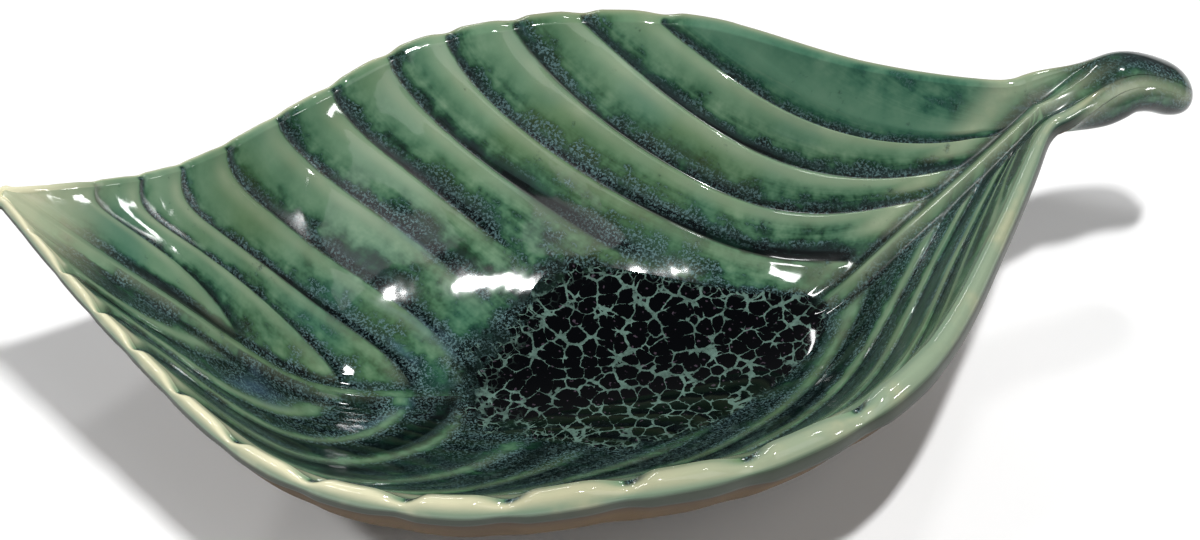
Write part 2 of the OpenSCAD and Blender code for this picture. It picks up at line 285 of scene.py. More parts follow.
    def pool_depth(self, row: Array, reach: Array, side: Array) -> Array:
        """Share of the pool's depth, below 0 outside it."""
        fill, share = self.pool_fill(row), np.abs(reach) / self.pool_margin(row, side)
        return fill * (1 - share**2) - 0.25 * (1 - smooth(fill / 0.2))

    def well(self, along: Array, aside: Array) -> Array:
        """How close a place is to the pool, from 1 on its margin to 0 well away from it."""
        long = (along - 0.5) * self.length / self.well_length
        return 1 - smooth((np.hypot(long, (aside - self.well_middle) / self.well_width) - 1.15) / 0.8)

    def groove_part(self, row: Array, reach: Array, side: Array, along: Array) -> Array:
        """How much of the grooves shows at a place: none on the midrib or in the pool.

        Args:
            row: Rows.
            reach: Places across them.
            side: 1 on the far side and -1 on the near one.
            along: Places along the centre line.

        Returns:
            Shares from 0 to 1.
        """
        from_rib = smooth((reach * self.width(along) - self.midrib_width / 2) / self.midrib_width)
        from_pool = smooth((reach - self.pool_margin(row, side)) / 0.2)
        in_pool = smooth(4 * self.pool_fill(row))
        return from_rib * (1 - in_pool * (1 - from_pool))

    def midrib_part(self, along: Array) -> Array:
        """How much of the midrib stands up: it sinks in the pool."""
        return 1 - 0.85 * smooth((along - 0.24) / 0.14) * smooth((0.82 - along) / 0.08)

    def rib_z(self, along: Array, aside: Array) -> Array:
        """Height of the midrib and of the ditch on each side of it.

        Args:
            along: Places along the centre line.
            aside: Distances from it.

        Returns:
            Heights over the smooth inside.
        """
        wide = self.midrib_width
        hill = 1 - smooth(aside / (0.62 * wide))
        ditch = smooth(aside / (0.8 * wide)) - smooth((aside - 0.8 * wide) / (0.6 * wide))
        by_tip = 1 - 0.45 * smooth((0.42 - along) / 0.1)
        return self.midrib_part(along) * self.midrib_height * by_tip * (hill - ditch / 2)

    def inside(self, row: Array, reach: Array, side: Array) -> Array:
        """Points of the glazed inside.

        Args:
            row: Rows.
            reach: Places across them.
            side: 1 on the far side and -1 on the near one.

        Returns:
            Points in the leaf's own frame.
        """
        along = self.row_place(row, reach)
        wide = self.width(along)
        by_rim = smooth((reach - 0.82) / 0.18)
        low = self.groove(row) * (1 - by_rim) + self.notch(row) * by_rim
        drawn = wide * reach + self.notch_pull(row, 0.0, side) * low * smooth((reach - 0.75) / 0.25)
        part = self.groove_part(row, reach, side, along) * (1 - self.well(along, side * wide * reach))
        depth = self.relief(row, side) * (1 - by_rim) + self.notch_depth(row, 0.0, side) * by_rim
        z = self.dish_z(along, reach) + self.rib_z(along, reach * wide) - depth * low * part
        return lifted(self.beside(along, side * drawn), z)

    def relief(self, row: Array, side: Array) -> Array:
        """Depth of the grooves, which are shallow on the wide far bands by the tip."""
        return self.groove_depth * np.where(side > 0, 0.4 + 0.45 * smooth((row - 0.12) / 0.35), 0.9)

    def notch_pull(self, row: Array, outs: Array | float, side: Array) -> Array:
        """How far a notch moves the lip in plan: its inner edge outwards, its outer edge inwards."""
        near = self.notch_out * (1 - outs) - self.notch_in * outs * self.by_stem(row)
        return np.where(side > 0, self.far_notch * near, near)

    def notch_depth(self, row: Array, outs: Array | float, side: Array) -> Array:
        """How deep a notch is cut across the lip, from its inner edge at 0 to its outer one at 1.

        Args:
            row: Rows.
            outs: Places across the lip.
            side: 1 on the far side and -1 on the near one.

        Returns:
            Depths.
        """
        across = (0.5 + 2.2 * outs * (1 - outs)) * (1 - 0.6 * outs**3)
        near = self.notch_down * across * (1 - outs * (1 - self.by_stem(row)))
        return np.where(side > 0, self.far_notch * near, near)

    def by_stem(self, row: Array) -> Array:
        """The notches reach the outer edge of the lip in full only past the tip's part."""
        return 0.25 + 0.75 * smooth((row - 0.17) / 0.2)

    def outward(self, along: Array, side: Array) -> Array:
        """Direction out of the leaf at its rim.

        Args:
            along: Places along the centre line.
            side: 1 on the far side and -1 on the near one.

        Returns:
            Directions in plan.
        """
        near_by = 0.004
        pace = np.sqrt(self.length**2 + (4 * self.bow * (1 - 2 * along)) ** 2)
        slope = (self.width(along + near_by) - self.width(along - near_by)) / (2 * near_by) / pace
        turn = (slope * smooth((1 - along) / 0.08))[..., None] * self.heading(along)
        return unit(side[..., None] * self.across(along) - turn)

    def lip(self, row: Array, roll: Array, side: Array) -> Array:
        """Points of the rolled lip.

        Args:
            row: Rows.
            roll: Places across the lip, from 0 at its inner edge to 1 at the end of the glaze.
            side: 1 on the far side and -1 on the near one.

        Returns:
            Points in the leaf's own frame.
        """
        part = self.lip_curve.at(row)
        low = self.notch(row + self.notch_slant * roll * (side < 0))
        outs = self.lip_out.at(roll)
        rise = self.lip_rise * self.lip_up.at(roll)
        drop = self.glaze_drop * part * self.lip_down.at(roll)
        edge = self.width(row) + self.notch_pull(row, outs, side) * low
        out = (self.lip_width * part * outs)[..., None] * self.outward(row, side)
        z = self.rim_z(row) - self.notch_depth(row, outs, side) * low + rise - drop
        return lifted(self.beside(row, side * edge) + out, z)

    def outside(self, along: Array, reach: Array, side: Array, inset: float = 0.0) -> Array:
        """Points of the bare outside.

        Args:
            along: Places along the centre line.
            reach: Places across, from 0 under the centre line to 1 at the end of the glaze.
            side: 1 on the far side and -1 on the near one.
            inset: How far the clay lies in from the glaze by its end.

        Returns:
            Points in the leaf's own frame.
        """
        part = self.lip_curve.at(along)
        low = self.notch(along + self.notch_slant * (side < 0))
        by_glaze = smooth((reach - 0.85) / 0.15)
        top = self.rim_z(along) - self.glaze_drop * part - self.notch_depth(along, 1.0, side) * low
        pulled = self.notch_pull(along, 1.0, side) * low * smooth((reach - 0.6) / 0.4)
        out = (self.lip_width * part * reach**3 - inset * by_glaze)[..., None] * self.outward(along, side)
        z = self.under_z(along) + (top - self.under_z(along)) * reach**2.6
        drawn = self.width(along) * reach + pulled
        return lifted(self.beside(along, side * drawn) + out, np.maximum(z, self.foot_height))


@dataclass
class Grid:
    """A net of points in rows and lines, with the numbers that its finish reads."""

    points: Array
    marks: dict[str, Array]

    def after(self, other: "Grid") -> "Grid":
        """This net with the rows of another one before its own."""
        marks = {key: np.concatenate([other.marks[key], values]) for key, values in self.marks.items()}
        return Grid(np.concatenate([other.points, self.points]), marks)

    def build(self, name: str, round_lines: bool = False, inwards: bool = False) -> bpy.types.Object:
        """Makes the mesh.

        Args:
            name: Name of the piece.
            round_lines: Whether the last line joins the first one, as on a tube.
            inwards: Whether the faces look the other way.

        Returns:
            The new object, smooth shaded.
        """
        rows, lines = self.points.shape[:2]
        across = lines if round_lines else lines - 1
        row, line = np.meshgrid(np.arange(rows - 1), np.arange(across), indexing="ij")
        right = (line + 1) % lines
        ring = [row * lines + line, (row + 1) * lines + line, (row + 1) * lines + right, row * lines + right]
        quads = np.stack(ring[::-1] if inwards else ring, -1).reshape(-1, 4)
        mesh = bpy.data.meshes.new(name)
        mesh.from_pydata(self.points.reshape(-1, 3).tolist(), [], quads.tolist())
        mesh.polygons.foreach_set("use_smooth", np.ones(len(quads), bool))
        for key, values in self.marks.items():
            flat = np.ascontiguousarray(values, np.float32)
            kind, field = ("FLOAT_VECTOR", "vector") if flat.ndim == 3 else ("FLOAT", "value")
            mesh.attributes.new(key, kind, "POINT").data.foreach_set(field, flat.ravel())
        mesh.update()
        piece = bpy.data.objects.new(name, mesh)
        bpy.context.scene.collection.objects.link(piece)
        return piece


class Value:
    """One number of a shader, so that masks are written as plain sums."""

    def __init__(self, shading: "Shading", socket: bpy.types.NodeSocket) -> None:
        """Wraps an output socket of a shading's nodes."""
        self.shading = shading
        self.socket = socket

    def _do(self, operation: str, *terms: "Value | Number") -> "Value":
        """Adds one Math node."""
        return self.shading.node("ShaderNodeMath", {"operation": operation}, dict(enumerate(terms)))

    def __add__(self, other: "Value | Number") -> "Value":
        """Sum, either way round."""
        return self._do("ADD", self, other)

    def __sub__(self, other: "Value | Number") -> "Value":
        """Difference."""
        return self._do("SUBTRACT", self, other)

    def __rsub__(self, other: Number) -> "Value":
        """Difference, the other way round."""
        return self._do("SUBTRACT", other, self)

    def __mul__(self, other: "Value | Number") -> "Value":
        """Product, either way round."""
        return self._do("MULTIPLY", self, other)

    __radd__ = __add__
    __rmul__ = __mul__

    def top(self, other: "Value | Number") -> "Value":
        """The larger of two."""
        return self._do("MAXIMUM", self, other)

    def step(self, low: Number, high: Number) -> "Value":
        """An even step from 0 to 1.

        Args:
            low: Where the step starts.
            high: Where it ends; below low, the step falls.

        Returns:
            The stepped value.
        """
        if low > high:
            return 1 - self.step(high, low)
        settings = {"interpolation_type": "SMOOTHSTEP"}
        return self.shading.node("ShaderNodeMapRange", settings, {"Value": self, 1: low, 2: high})


class Shading:
    """The nodes of one material, and the few ways in which this dish adds to them."""

    def __init__(self, name: str, world: bpy.types.World | None = None) -> None:
        """Starts an empty net of nodes.

        Args:
            name: Name of the new material.
            world: The world whose light it is, where it isn't a material's.
        """
        self.material = world or bpy.data.materials.new(name)
        self.material.use_nodes = True
        self.nodes = self.material.node_tree.nodes
        self.nodes.clear()

    def node(
        self,
        kind: str,
        settings: dict[str, object] | None = None,
        sockets: dict[str | int, object] | None = None,
        output: str | int = 0,
    ) -> Value:
        """Adds a node of any type.

        Args:
            kind: The node's type.
            settings: Its own settings, which are set first; stops are those of a colour ramp.
            sockets: A number, colour, vector or link for each input, by name or place.
            output: The output that is wanted, by name or place.

        Returns:
            The output.
        """
        made = self.nodes.new(kind)
        for key, value in (settings or {}).items():
            if key == "stops":
                ramp = made.color_ramp
                while len(ramp.elements) < len(value):
                    ramp.elements.new(1.0)
                for element, (place, colour) in zip(ramp.elements, value):
                    element.position = place
                    element.color = (*colour, 1.0)
            else:
                setattr(made, key, value)
        for key, value in (sockets or {}).items():
            socket = made.inputs[key]
            if isinstance(value, Value):
                self.material.node_tree.links.new(value.socket, socket)
            elif isinstance(value, tuple) and len(value) == 3 and socket.type == "RGBA":
                socket.default_value = (*value, 1.0)
            else:
                socket.default_value = value
        return Value(self, made.outputs[output])

    def place(self) -> Value:
        """Places on the object, in metres."""
        return self.node("ShaderNodeTexCoord", output="Object")

    def mark(self, name: str, output: str = "Fac") -> Value:
        """A number that the mesh carries, or a vector where the output is Vector."""
        return self.node("ShaderNodeAttribute", {"attribute_name": name}, output=output)

    def noise(self, place: Value, grain: float, detail: float = 2.0, rough: float = 0.5) -> Value:
        """Cloudy noise about a half, whose clouds are as large as the grain, in metres."""
        sockets = {"Vector": place, "Scale": 1 / grain, "Detail": detail, "Roughness": rough}
        return self.node("ShaderNodeTexNoise", {"noise_dimensions": "3D"}, sockets)

    def shifted(self, place: Value, grain: float, reach: float) -> Value:
        """Places pushed about by noise.

        Args:
            place: The places.
            grain: Size of one push's area, in metres.
            reach: Greatest push, in metres.

        Returns:
            The new places.
        """
        settings = {"noise_dimensions": "3D"}
        sockets = {"Vector": place, "Scale": 1 / grain, "Detail": 2.0}
        noise = self.node("ShaderNodeTexNoise", settings, sockets, "Color")
        centred = self.vector("SUBTRACT", noise, (0.5, 0.5, 0.5))
        size = {0: centred, "Scale": 2 * reach}
        scaled = self.node("ShaderNodeVectorMath", {"operation": "SCALE"}, size)
        return self.vector("ADD", place, scaled)

    def vector(self, operation: str, one: Value, other: Value | tuple[float, ...]) -> Value:
        """Adds one Vector Math node on two vectors."""
        return self.node("ShaderNodeVectorMath", {"operation": operation}, {0: one, 1: other})

    def ramp(self, value: Value, stops: Sequence[tuple[float, Colour]]) -> Value:
        """Colours along a value."""
        return self.node("ShaderNodeValToRGB", {"stops": stops}, {0: value})

    def mix(self, share: Value | Number, one: Value | Colour, other: Value | Colour) -> Value:
        """Blends two colours, with the other one's share from 0 to 1."""
        settings = {"data_type": "RGBA", "clamp_factor": True}
        return self.node("ShaderNodeMix", settings, {0: share, 6: one, 7: other}, 2)

    def finish(self, sockets: dict[str | int, object]) -> bpy.types.Material:
        """Adds the Principled shader with these sockets, and gives the finished material."""
        self.output("ShaderNodeOutputMaterial", self.node("ShaderNodeBsdfPrincipled", None, sockets))
        return self.material

    def output(self, kind: str, surface: Value) -> None:
        """Ends the net of nodes in its output."""
        out = self.nodes.new(kind)
        self.material.node_tree.links.new(surface.socket, out.inputs["Surface"])


@dataclass(frozen=True)
class GlazeFinish:
    """The green glaze: dark and speckled where it ran thick, pale where an edge left it thin."""

    name: str = "green_glaze"
    roughness: float = 0.06
    cloud: float = 0.022
    small_cloud: float = 0.006
    run: float = 0.004
    streak: float = 0.007
    warm_cloud: float = 0.034
    cool_cloud: float = 0.028
    speck: float = 0.00065
    cell: float = 0.0040
    fissure: float = 0.022
    speck_push: tuple[float, float] = (0.002, 0.0003)
    pushes: tuple[tuple[float, float], ...] = ((0.012, 0.0022), (0.0026, 0.0006), (0.0009, 0.0002))
    swell: float = 0.006
    pit: float = 0.0011
    net_patch: float = 0.011
    net_gap: float = 0.0034
    dot: float = 0.0013
    lace: float = 0.0028
    blotch: float = 0.012
    ripple: float = 0.009
    ripple_depth: float = 0.00010
    thick_colours: tuple[tuple[float, Colour], ...] = (
        (0.00, paint(124, 152, 124)),
        (0.22, paint(98, 132, 104)),
        (0.42, paint(70, 108, 82)),
        (0.58, paint(33, 68, 48)),
        (0.74, paint(13, 36, 28)),
        (1.00, paint(2, 9, 10)),
    )
    olive: Colour = paint(86, 108, 62)
    blue_green: Colour = paint(56, 106, 92)
    speck_colour: Colour = paint(98, 128, 130)
    rutile: Colour = paint(92, 124, 150)
    edge_colour: Colour = paint(158, 171, 143)
    cream: Colour = paint(182, 180, 148)
    ivory: Colour = paint(226, 222, 188)
    # Grey green down the lip's outside, darkened as painted shade on its lower face.
    celadon: Colour = paint(118, 146, 125)
    # Near black at the glaze's end, and painted shade on the lip's lower outer side.
    glaze_end_and_shade: Colour = paint(28, 33, 18)
    black: Colour = paint(3, 4, 6)
    margin: Colour = paint(6, 14, 12)
    fissure_colour: Colour = paint(102, 130, 120)
    plum: Colour = paint(92, 78, 92)

    def colour(self, nodes: Shading) -> Value:
        """The glaze's colour all over the dish.

        Args:
            nodes: The shading that the nodes go in.

        Returns:
            The colour.
        """
        place = nodes.place()
        flow = nodes.mark("flow", "Vector")
        thick, thin = nodes.mark("thick"), nodes.mark("thin")
        clouds = nodes.noise(place, self.cloud, 3.0)
        small = nodes.noise(place, self.small_cloud, 3.0, 0.6)
        runs = nodes.noise(flow, self.run, 3.0, 0.6)
        fray = ((small - 0.5) * 1.1 + (runs - 0.5) * 0.8) * thick.step(0.0, 0.35)
        wander = (clouds - 0.5) * 0.5 + (small - 0.5) * 0.3 + fray
        depth = thick * 0.8 + 0.2 + wander
        body = nodes.ramp(depth, self.thick_colours)
        warm = nodes.noise(place, self.warm_cloud).step(0.48, 0.68) * (1 - thick) * 0.45
        cool = nodes.noise(nodes.vector("ADD", place, (0.3, 0.1, 0.2)), self.cool_cloud).step(0.5, 0.7) * 0.5
        body = nodes.mix(warm, body, self.olive)
        blue = nodes.mark("blue")
        cool = (cool * (1 - thick)).top(blue * 0.7 * thick.step(0.95, 0.45))
        body = nodes.mix(cool, body, self.blue_green)
        grain = nodes.noise(nodes.shifted(place, *self.speck_push), self.speck, 3.0, 0.75).step(0.49, 0.58)
        patch = nodes.noise(flow, self.streak, 3.0, 0.6).step(0.36, 0.56) * small.step(0.3, 0.5)
        haze = runs.step(0.35, 0.65) * thick.step(0.4, 0.75) * thick.step(1.0, 0.9) * 0.1
        body = nodes.mix(haze, body, self.speck_colour)
        specks = grain * patch * depth.step(0.48, 0.68) * thick.step(1.04, 0.97) * (1 - blue)
        body = nodes.mix(specks * (0.3 + clouds * 0.8), body, self.speck_colour)
        streak = nodes.noise(flow, self.streak, 3.0).step(0.62, 0.78) * thick.step(0.1, 0.3) * 0.28
        body = nodes.mix(streak, body, self.rutile)
        ridge = nodes.mix(clouds.step(0.4, 0.6) * 0.25, self.edge_colour, self.olive)
        body = nodes.mix(thin * (0.75 + (small - 0.5)), body, ridge)
        return self.lip_colour(nodes, self.pool_colour(nodes, body, place, grain, small))

    def pool_colour(self, nodes: Shading, body: Value, place: Value, grain: Value, small: Value) -> Value:
        """Lays the black glass with its pale net over the glaze's colour.

        Args:
            nodes: The shading that the nodes go in.
            body: The glaze's colour.
            place: Places on the dish.
            grain: The glaze's specks.
            small: The glaze's small clouds.

        Returns:
            The colour with the pool.
        """
        pool, moved = nodes.mark("pool"), place
        for grain_size, push in self.pushes:
            moved = nodes.shifted(moved, grain_size, push)
        swell = nodes.noise(place, self.swell).step(0.35, 0.65)
        fine = nodes.noise(place, self.pit, 3.0, 0.65)
        patch = nodes.noise(place, self.net_patch).step(0.68, 0.74).top(pool.step(0.3, 0.03))
        lumps = (fine - 0.5) * 0.1 + swell * 0.012
        coarse = self.fissures(nodes, moved, self.cell, lumps)
        finer = self.fissures(nodes, moved, self.cell / 2, lumps)
        net = coarse.top(finer * patch)
        kept = nodes.noise(place, self.net_gap, 3.0, 0.6).step(0.3, 0.4)
        frayed = net * kept * fine.step(0.22, 0.42)
        dots = nodes.noise(place, self.dot, 1.0).step(0.68, 0.75) * 0.5
        glass = nodes.mix(dots, self.black, self.plum)
        glass = nodes.mix(frayed * (0.4 + swell * 0.3 + (fine - 0.4) * 0.9), glass, self.fissure_colour)
        lace = pool + (small - 0.5) * 0.5 + (nodes.noise(place, self.lace, 3.0, 0.6) - 0.5) * 0.5
        held = lace.step(0.02, 0.1)
        ring = lace.step(-0.16, -0.02) * (1 - held)
        margin = nodes.mix(grain * small.step(0.4, 0.6) * 0.7, self.margin, self.speck_colour)
        return nodes.mix(held, nodes.mix(ring * 0.8, body, margin), glass)

    def fissures(self, nodes: Shading, place: Value, cell: float, lumps: Value) -> Value:
        """One net of pale lines between rounded cells.

        Args:
            nodes: The shading that the nodes go in.
            place: Places on the dish, already pushed about.
            cell: Size of a cell, in metres.
            lumps: How much wider the lines are, as a share of a cell.

        Returns:
            1 on a line and 0 on the black glass.
        """
        sockets = {"Vector": place, "Scale": 1 / cell}
        settings = {"voronoi_dimensions": "3D", "feature": "DISTANCE_TO_EDGE"}
        edge = nodes.node("ShaderNodeTexVoronoi", settings, sockets)
        heart = nodes.node("ShaderNodeTexVoronoi", {"voronoi_dimensions": "3D", "feature": "F1"}, sockets)
        return (edge - (heart - 0.56) * 0.3 - lumps).step(self.fissure, 0.0)

    def lip_colour(self, nodes: Shading, body: Value) -> Value:
        """Lets the glaze turn pale on the lip, and a darker grey green down the outside of it: partly the
        glaze's own tint, partly painted shade on the lip's outer, lower face.

        Args:
            nodes: The shading that the nodes go in.
            body: The colour of the rest.

        Returns:
            The colour with the lip.
        """
        edge, celadon = nodes.mark("lip"), nodes.mark("celadon")
        blotch = nodes.noise(nodes.place(), self.blotch, 3.0, 0.55)
        along = nodes.node("ShaderNodeSeparateXYZ", None, {0: nodes.place()}, "X")
        pale = nodes.mix(along.step(-0.02, -0.085), self.cream, self.ivory)
        body = nodes.mix((edge + (blotch - 0.5) * 0.5 * edge.step(0.0, 0.3)) * 0.95, body, pale)
        body = nodes.mix(celadon * edge.step(0.05, 0.4) * blotch.step(0.2, 0.55) * 0.9, body, self.celadon)
        # The dark end of the glaze, partly painted shade on the lip's lower side.
        return nodes.mix(nodes.mark("end") * 0.92, body, self.glaze_end_and_shade)

    def material(self) -> bpy.types.Material:
        """Makes the finish.

        Returns:
            The material.
        """
        nodes = Shading(self.name)
        colour = self.colour(nodes)
        wave = nodes.noise(nodes.place(), self.ripple)
        bump = {"Height": wave, "Distance": self.ripple_depth, "Strength": 1.0}
        normal = nodes.node("ShaderNodeBump", None, bump)
        rough = nodes.mark("matt") * 0.3 + self.roughness
        return nodes.finish({"Base Color": colour, "Roughness": rough, "IOR": 1.5, "Normal": normal})


@dataclass(frozen=True)
class ClayFinish:
    """Bare brown stoneware, matt, with a little iron in it."""

    name: str = "stoneware"
    body: Colour = paint(98, 76, 44)
    dark: Colour = paint(68, 51, 28)
    # Also the dark band under the glaze line, which is iron and painted shade there.
    iron: Colour = paint(58, 42, 28)
    roughness: float = 0.82
    cloud: float = 0.02
    grain: float = 0.0006
    spot: float = 0.0016
    drag: float = 0.0012
    relief: float = 0.00025

    def material(self) -> bpy.types.Material:
        """Makes the finish.

        Returns:
            The material.
        """
        nodes = Shading(self.name)
        place = nodes.place()
        clouds = nodes.noise(place, self.cloud, 4.0, 0.6)
        grain = nodes.noise(place, self.grain, 3.0, 0.7)
        spots = nodes.noise(place, self.spot, 1.0).step(0.7, 0.76)
        colour = nodes.mix(clouds.step(0.35, 0.7) * 0.6, self.body, self.dark)
        colour = nodes.mix((grain - 0.5).step(0.0, 0.3) * 0.3, colour, self.dark)
        # Dark band under the glaze line: an iron line and painted shade under the tucked glaze.
        colour = nodes.mix(nodes.mark("glaze_edge") * 0.85, colour, self.iron)
        colour = nodes.mix(spots * 0.5, colour, self.iron)
        drag = nodes.noise(nodes.mark("flow", "Vector"), self.drag, 2.0, 0.6)
        bump = {"Height": grain * 0.5 + drag * 0.5, "Distance": self.relief, "Strength": 0.8}
        normal = nodes.node("ShaderNodeBump", None, bump)
        return nodes.finish({"Base Color": colour, "Roughness": self.roughness, "Normal": normal})


@dataclass
class Piece:
    """A piece that follows the leaf's laws. Its origin, the leaf's middle in plan, puts it where the
    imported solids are.
    """

    form: LeafForm
    origin: Array

    def placed(self, points: Array) -> Array:
        """Moves points from the leaf's own frame to the dish's."""
        return points + np.append(self.origin, 0.0)

    def show(
        self, net: Grid, name: str, material: bpy.types.Material, slot: Slot, *nodes: str, **how: bool
    ) -> Grid:
        """Makes a net's object, dresses it and lets it stand for its solid.

        Args:
            net: The net, in the leaf's own frame.
            name: Name of the object.
            material: Its finish.
            slot: The finish's name; not used.
            nodes: The solids that it stands for.
            how: How the net closes and which way it faces, as Grid.build takes it.

        Returns:
            The same net, for a piece that goes on from it.
        """
        piece = Grid(self.placed(net.points), net.marks).build(name, **how)
        piece.data.materials.append(material)
        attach(piece, "root")
        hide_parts(*nodes)
        log.info("%s: %d faces, for %s", name, len(piece.data.polygons), ", ".join(nodes))
        return net


class Spots:
    """Points of the glaze coat: where they lie on the leaf, and what the finish reads there."""

    rib_crest: float = 0.0017
    ditch_start: float = 0.0016
    ditch_end: float = 0.0036
    band_start: float = 0.0072

    def __init__(self, form: LeafForm, row: Array, reach: Array, roll: Array, side: Array) -> None:
        """Works out where the points lie.

        Args:
            form: The leaf.
            row: Rows.
            reach: Places across the inside.
            roll: Places across the lip, 0 on the inside.
            side: 1 on the far side and -1 on the near one.
        """
        self.form, self.row, self.reach, self.roll = form, row, reach, roll
        self.side, self.near, self.past = side, side < 0, row > form.veins[-1]
        self.along = form.row_place(row, reach)
        self.aside = reach * form.width(self.along)
        self.between, self.own = form.band(row)
        self.grooved = form.tip_fade(row) * form.groove_part(row, reach, side, self.along)
        self.well = form.well(self.along, side * self.aside)
        self.pool = form.pool_depth(row, reach, side)
        self.tip = 1 - smooth(self.along / 0.09)
        creases = ((row - form.veins[-1]) / form.last_band) % 1
        self.fan = np.where(self.past, np.where(self.near, creases, 0.6 * self.between), self.between)

    def strip(self) -> Array:
        """Where the glaze ran together in dark strips: the grooves, and past the last one.

        Returns:
            How dark, from 0 to 1.
        """
        row, reach, between, near = self.row, self.reach, self.between, self.near
        slim = np.where(near, 1.0, 0.6 + 0.4 * smooth((row - 0.1) / 0.25))
        wide = np.where(near, 0.36, 0.15 + 0.1 * smooth((0.95 - reach) / 0.5)) * slim
        slope = np.clip(1 - between / (0.44 * slim + wide), 0, 1)
        groove = self.own * (0.5 * bell(between / wide) + 0.47 * slope)
        groove = np.maximum(groove, 0.9 * smooth((between - 0.93) / 0.07)) * self.grooved
        level = 0.4 * (1 - smooth(between / 0.75)) * smooth((0.97 - reach) / 0.2)
        level = level + 0.28 * smooth((row - 0.75) / 0.14)
        creases = 0.74 * (1 - bell((self.fan - 0.78) / 0.19)) * smooth((0.96 - reach) / 0.1)
        return np.maximum.reduce([groove, self.past * ~near * level, near * creases])

    def thin(self) -> Array:
        """Where the glaze ran off and is pale: crests of the bands, the midrib and the tip.

        Returns:
            How thin, from 0 to 1.
        """
        far, between, aside, along = ~self.near, self.between, self.aside, self.along
        crest = bell((self.fan - np.where(far, 0.82, 0.79)) / np.where(far, 0.15, 0.12))
        crest = crest * self.grooved * (1 - smooth((self.reach - 0.9) / 0.1) * 0.5)
        rib = bell(aside / self.rib_crest) * self.form.midrib_part(along)
        rib = rib * (1 - 0.5 * smooth((0.44 - along) / 0.1))
        ends = bell((aside - self.band_start) / 0.003) * smooth((between - 0.25) / 0.2) * (between < 0.97)
        ends = ends * smooth((self.row - 0.3) / 0.15) * far
        thin = np.clip(np.maximum.reduce([0.7 * crest, rib, ends]), 0, 1)
        thin = thin * (1 - smooth((self.pool + 0.1) / 0.15)) * (1 - 0.6 * self.well)
        return np.maximum(thin, 0.8 * self.tip)

    def lip(self) -> Array:
        """Where the glaze is cream: the lobes' edges by the near rim, and the lip.

        Returns:
            How pale, from 0 to 1.
        """
        row, reach, roll, between, near = self.row, self.reach, self.roll, self.between, self.near
        notch = self.form.notch(row)
        wedge = 0.05 + 0.17 * between**1.5 * (1 - smooth((row - 0.3) / 0.25))
        lobe = smooth((reach - 1 + wedge) / (0.6 * wedge)) * (1 - 0.8 * notch * (between < 0.5))
        rolled = np.where(near, 0.5 + 0.5 * smooth(roll / 0.3), 0.75 * bell((roll - 0.55) / 0.2))
        edge = np.where(roll > 0, rolled, near * lobe)
        edge = edge * (1 - notch * (1 - smooth((roll - 0.15) / 0.3)))
        return np.maximum(edge, self.tip * (0.45 + 0.55 * (roll > 0)))

    def marks(self) -> dict[str, Array]:
        """What the finish reads at each point.

        Returns:
            The numbers by name.
        """
        form, row, reach, roll = self.form, self.row, self.reach, self.roll
        aside, near = self.aside, self.near
        strip, thin = self.strip(), self.thin()
        ditch = smooth((aside - self.ditch_start) / 0.001) * form.midrib_part(self.along)
        ditch = ditch * (1 - smooth((aside - self.ditch_end) / 0.0026))
        by_pool = 0.45 * smooth((self.pool + 0.26) / 0.26) * (reach < 0.9) + 0.36 * self.well
        over = 1 - smooth((roll - 0.1) / 0.4)
        thick = np.clip(np.maximum(strip, 0.9 * ditch) + by_pool * (1 - 0.6 * thin), 0, 1)
        thick = thick * over * (1 - 0.85 * self.tip)
        matt = np.clip(np.maximum(strip, ditch) - 0.1, 0, 1) * (1 - self.well) * over * (roll == 0)
        # The dark end of the glaze; it starts higher on the lip towards the stem, as painted shade on the
        # lip's lower side.
        end = smooth((roll - 0.74 + 0.1 * smooth((row - 0.45) / 0.2)) / 0.12)
        dark = smooth((row - 0.84) / 0.14) * smooth((roll - 0.45) / 0.25) * near
        # The lip's outer half, where the finish lays its darker tint, partly painted shade.
        outer = smooth((roll - 0.5) / 0.25)
        down = reach * form.half_width * 0.22 + roll * 0.002
        far_blue = 0.6 * self.past * ~near * smooth(self.between / 0.4)
        return {
            "thick": np.maximum(thick, 0.75 * dark),
            "thin": thin,
            "matt": np.maximum(matt, end),
            "pool": np.where(roll > 0, -0.25, self.pool),
            "lip": np.clip(self.lip() * (1 - dark), 0, 1),
            "outer": outer,
            "celadon": np.maximum(outer, 0.8 * smooth((row - 0.45) / 0.25)) * near,
            "end": end,
            "flow": np.stack([row * form.length, down, self.side * 0.05 + 0 * row], -1),
            "blue": np.maximum(far_blue, dark),
        }


